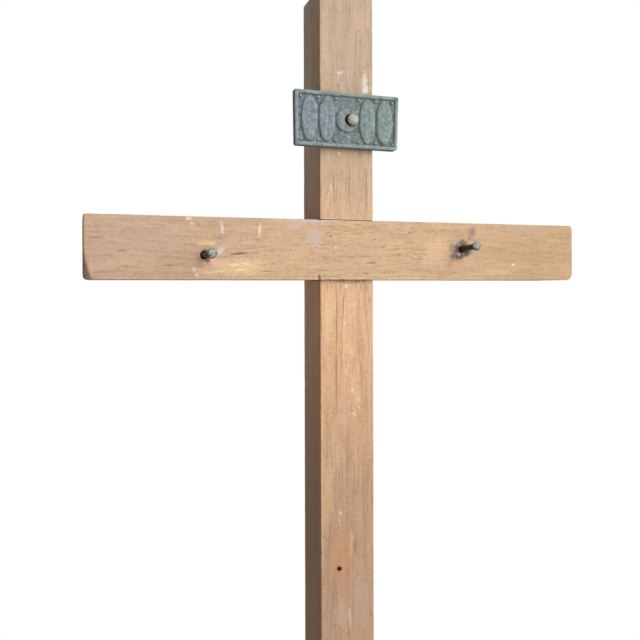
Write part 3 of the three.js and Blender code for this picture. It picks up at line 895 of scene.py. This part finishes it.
def plateHeight(look, x, z):  # how far the cast front stands from the plate's back
    def lump(scale, shift):
        return noise.noise(Vector((x * scale, z * scale, look["seed"] + shift)))
    def climb(reach):
        return eased((reach + look["ragged"] * lump(0.8, 0)) / look["wall"] + 0.5)
    border = min(plateHalfWidth(look, z) - abs(x), look["height"] / 2 - abs(z))
    raised = climb(look["rim"] - border) * look["rimHeight"]
    raised = max(raised, climb(look["boss"] - math.hypot(x, z)))
    share = abs(z) / look["leafHeight"] * 2
    if share < 1:
        half = look["leafHalf"] * (1 - share ** 2.6) ** 0.6
        for centre in look["leaves"]:
            across = abs(x - centre)
            crown = 1 - look["leafFall"] * min(1.0, across / max(half, 0.2)) ** 2
            vein = look["vein"] * (1 - eased(across / look["veinHalf"]))
            vein *= eased(half / look["leafHalf"] * 1.6 - 0.5)
            raised = max(raised, climb(half - across) * min(1.0, half / 0.6) * crown - vein)
    for centre in look["beads"]:
        reach = math.hypot(x - centre, abs(z) - look["beadDrop"]) / look["beadRadius"]
        if reach < 1:
            raised = max(raised, look["beadHeight"] * math.sqrt(1 - reach * reach))
    height = look["field"] + look["relief"] * raised
    height += sum(lump(scale, shift) * high for scale, shift, high in look["cast"])
    if border < look["edge"]:
        away = look["edge"] - max(0.0, border)
        height -= look["edge"] - math.sqrt(max(0.0, look["edge"] ** 2 - away ** 2))
    return min(height, look["field"] + look["relief"])


def plateShape(look):
    columns = round(look["topWidth"] / look["cell"])
    rows = round(look["height"] / look["cell"])
    points = []
    for row in range(rows + 1):
        for column in range(columns + 1):
            z = (row / rows - 0.5) * look["height"]
            half = plateHalfWidth(look, z)
            x = (column / columns - 0.5) * 2 * half
            corner = look["corners"][0 if x < 0 else 1]
            centreX, centreZ = half - corner, look["height"] / 2 - corner
            overX, overZ = abs(x) - centreX, abs(z) - centreZ
            if overX > 0 and overZ > 0:
                factor = max(overX, overZ) / math.hypot(overX, overZ)
                x = math.copysign(centreX + overX * factor, x)
                z = math.copysign(centreZ + overZ * factor, z)
            points.append(Vector((x, -plateHeight(look, x, z), z)))
    width = columns + 1
    cells = [row * width + column for row in range(rows) for column in range(columns)]
    faces = [(first, first + 1, first + width + 1, first + width) for first in cells]
    rim = list(range(width)) + [row * width + columns for row in range(1, rows + 1)]
    rim += [rows * width + column for column in range(columns - 1, -1, -1)]
    rim += [row * width for row in range(rows - 1, 0, -1)]
    previous = rim
    for depth, inset in ((0.5, 0.0), (0.12, 0.0), (0.0, 0.12)):
        current = []
        for index in rim:
            edge = points[index]
            factor = 1 - inset / edge.length
            current.append(len(points))
            points.append(Vector((edge.x * factor, -depth, edge.z * factor)))
        for step in range(len(rim)):
            following = (step + 1) % len(rim)
            faces.append((previous[following], previous[step], current[step], current[following]))
        previous = current
    faces.append(tuple(previous[::-1]))
    return points, faces


def makePlate(look, finish):
    shape = plateShape(look)
    bore = turned([(look["holeRadius"], -1), (look["holeRadius"], 4)], 36)
    shiftX, shiftZ = look["shift"]
    hole = Matrix.Translation((look["holeShift"] - shiftX, 0, -shiftZ)) @ Matrix.Rotation(math.pi, 4, "Z")
    shape = carved(shape, [moved(bore, hole)])
    x, z = titleNail["place"]
    place = Matrix.Translation(Vector((x, frontY - look["back"], z)) + crossing)
    place = place @ Matrix.Rotation(math.radians(look["tilt"]), 4, "Y")
    shape = moved(shape, place @ Matrix.Translation((shiftX, 0, shiftZ)))
    addPiece("title_plate", shape, finish, "plate", "titulus_plate", 50)


verdigrisLook = {
    "field": (0.74, 0.76, 0.75, 1),
    "blue": paint(126, 138, 148), "green": paint(124, 141, 135), "grey": paint(140, 150, 152),
    # The palest tone here serves both real pale crust and the painted highlight on the relief's edges.
    "crustAndHighlight": paint(184, 202, 196), "grime": paint(66, 66, 64), "plum": paint(122, 116, 124),
    "side": paint(112, 118, 114), "bump": 0.55, "bumpDepth": 0.12, "ior": 1.5, "specular": 0.3,
}


def verdigrisFinish(look):
    finish, wire = newFinish("castVerdigris")
    place = millimetres(wire)
    across, depth = axisOf(place, 0), axisOf(place, 1)
    top = frontY - plateSettings["back"] - plateSettings["field"] - plateSettings["relief"]
    raised = between(depth, top + 0.46, top + 0.16)
    groove = between(depth, top + 0.1, top + 0.24) * between(depth, top + 0.47, top + 0.36)
    # a band round the top edges of the raised forms, for a painted highlight
    highlightLip = raised * between(depth, top + 0.02, top + 0.15)
    patch = cloud(place, 0.5, 2.0, 0.55)
    mottle = cloud(placed(place, (1, 1, 1), (9, 2, 4)), 1.0, 3.0, 0.65)
    grit = cloud(place, 2.6, 3.0, 0.7)
    colour = mixed(look["blue"], look["green"], between(across + (patch - 0.5) * 26, -10, 7))
    colour = mixed(colour, look["grey"], between(mottle, 0.44, 0.62) * 0.6)
    colour = mixed(colour, look["plum"], between(grit * 0.5 + patch * 0.5, 0.54, 0.64) * 0.45)
    colour = mixed(colour, look["grime"], between(mottle, 0.5, 0.34) * 0.35)
    colour = mixed(colour, look["field"], 1 - raised, "MULTIPLY")
    for tone, cover in (
        ("grime", groove * 0.75),
        # first a painted highlight on the raised edges, then real pale crust spots
        ("crustAndHighlight", highlightLip * 0.35),
        ("crustAndHighlight", between(grit * 0.6 + mottle * 0.4, 0.53, 0.66) * 0.65),
        ("side", between(facing(wire, 1), -0.45, -0.15)),
    ):
        colour = mixed(colour, look[tone], cover)
    finishOff(wire, look, colour, 0.6 + grit * 0.3, grit * 0.5 + mottle * 0.5, metallic=raised * 0.1)
    return finish


makePlate(plateSettings, verdigrisFinish(verdigrisLook))
print("title plate made")


# Nail, pins and hanger
nailSettings = {
    "shank": 0.75, "head": 1.33, "standout": 2.85, "thick": 0.95, "grip": 6.5, "point": 1.8,
    "flat": 0.35,
}
pinSettings = {
    "shank": 0.66, "head": 1.03, "standout": 6.7, "thick": 0.8, "grip": 7.5, "point": 2.2,
    "flat": 0.45,
}


def nailShape(look, seed):
    thick, flat = look["thick"], look["flat"]
    under = look["standout"] - thick
    shank, head, point = look["shank"], look["head"], look["point"]
    tip = -look["grip"]
    fillet = 0.12  # between the shank and the head
    profile = [(0.004, tip), (shank * 0.5, tip + point * 0.55), (shank, tip + point)]
    profile += [(shank, tip + point + (under - tip - point) * index / 12) for index in range(1, 12)]
    profile += [(shank, under - fillet), (shank + fillet, under - 0.02), (head - 0.08, under)]
    rise = thick * (1 - flat * 0.25)
    for index in range(9):
        angle = math.pi / 2 * index / 9
        profile.append((head * math.cos(angle), under + 0.06 + rise * math.sin(angle) * 0.93))
    profile.append((0.004, look["standout"] - thick * flat * 0.2))
    return turned(profile, 40, 0.035, seed)


metalLooks = {
    "nail": {
        "base": paint(158, 150, 144), "bright": paint(200, 190, 184), "dark": paint(104, 88, 82),
        "tint": paint(150, 166, 150), "rim": paint(92, 92, 84), "metallic": 0.3, "rough": 0.5,
        "bump": 0.5, "bumpDepth": 0.08, "ior": 1.5, "specular": 0.45,
    },
    "pin": {
        "base": paint(122, 130, 122), "bright": paint(172, 178, 164), "dark": paint(70, 66, 54),
        "tint": paint(118, 134, 132), "rim": paint(48, 46, 34), "metallic": 0.35, "rough": 0.48,
        "bump": 0.5, "bumpDepth": 0.08, "ior": 1.5, "specular": 0.45,
    },
    "hanger": {
        "base": paint(168, 138, 84), "bright": paint(206, 178, 118), "dark": paint(84, 66, 42),
        "tint": paint(150, 122, 74), "metallic": 0.9, "rough": 0.38,
        "bump": 0.4, "bumpDepth": 0.06, "ior": 1.5, "specular": 0.5,
    },
}


def metalFinish(name, look, headLevel=None):  # behind headLevel a nail is as dark as its head's rim
    finish, wire = newFinish(name)
    place = millimetres(wire)
    patch = cloud(place, 1.3, 2.0, 0.6)
    grit = cloud(place, 3.6, 3.0, 0.65)
    colour = mixed(look["base"], look["bright"], between(grit, 0.38, 0.68))
    colour = mixed(colour, look["tint"], between(patch, 0.42, 0.6) * 0.6)
    colour = mixed(colour, look["dark"], between(grit * 0.6 + patch * 0.4, 0.5, 0.38) * 0.7)
    if headLevel is not None:
        colour = mixed(colour, look["rim"], between(facing(wire, 1), -0.78, -0.35) * 0.9)
        colour = mixed(colour, look["rim"], between(axisOf(place, 1), headLevel, headLevel + 0.3))
    roughness = look["rough"] + (grit - 0.5) * 0.3 + between(patch, 0.5, 0.75) * 0.2
    finishOff(wire, look, colour, roughness, grit, metallic=look["metallic"])
    return finish


def makeNail(name, look, pin, finish, node):
    shape = moved(nailShape(look, pin["seed"]), pinPlace(pin))
    addPiece(name, shape, finish, "cross", node, 40)


nailFinish = metalFinish("wornNail", metalLooks["nail"], frontY - 1.9)
pinFinish = metalFinish("dullPinBrass", metalLooks["pin"], frontY - 5.85)
makeNail("title_nail", nailSettings, titleNail, nailFinish, "titulus_nail")
makeNail("left_pin", pinSettings, leftPin, pinFinish, "hand_pin_left")
makeNail("right_pin", pinSettings, rightPin, pinFinish, "hand_pin_right")

hangerSettings = {
    "sides": 24, "stapleWire": 0.6, "stapleGrip": 6.0,
    "stapleTip": (0.12, 0.3),  # the share of its length that thins at each end, and how thin
    "crown": 1.6,  # from the eye's middle to the middle of the staple's wire
    "ringWire": 0.65, "ringTip": (0.004, 0.9), "ringRadius": 4.5, "ringY": 1.0,
    "ringOpening": 200,  # degrees round the ring to where its ends meet
    "ringGap": 0.5, "ringSteps": 120,
    "ringBend": 0.004,  # how far it is out of round, as a share
    "ringWarp": 0.05,  # and out of flat
}


def staplePath(look):
    crown, grip = look["crown"], look["stapleGrip"]
    path = [Vector((0, -grip + (grip + look["ringY"]) * (index / 12), crown)) for index in range(13)]
    for index in range(1, 24):
        angle = math.pi * index / 24
        path.append(Vector((0, look["ringY"] + crown * math.sin(angle), crown * math.cos(angle))))
    return path + [Vector((point.x, point.y, -crown)) for point in path[12::-1]]


def ringPath(look):  # a ring bent from wire, its two ends nearly meeting
    path = []
    gap, steps = look["ringGap"], look["ringSteps"]
    start = math.radians(look["ringOpening"] + gap)
    sweep = math.radians(360 - gap * 2)
    for index in range(steps + 1):
        angle = start + sweep * index / steps
        push = 1 + look["ringBend"] * math.sin(3 * angle + 0.5)
        path.append(Vector((
            look["ringRadius"] * push * math.cos(angle),
            look["ringY"] + look["ringWarp"] * math.sin(angle * 2),
            -look["ringRadius"] + look["ringRadius"] * push * math.sin(angle),
        )))
    return path


def makeHanger(look, finish):
    staple = tube(staplePath(look), look["stapleWire"], look["sides"], look["stapleTip"])
    addPiece("back_staple", staple, finish, "cross", "hanger_staple", 40)
    ring = tube(ringPath(look), look["ringWire"], look["sides"], look["ringTip"])
    addPiece("back_ring", ring, finish, "ring", "hanger_ring", 40)


makeHanger(hangerSettings, metalFinish("agedHangerBrass", metalLooks["hanger"]))
print("nail, pins and hanger made")
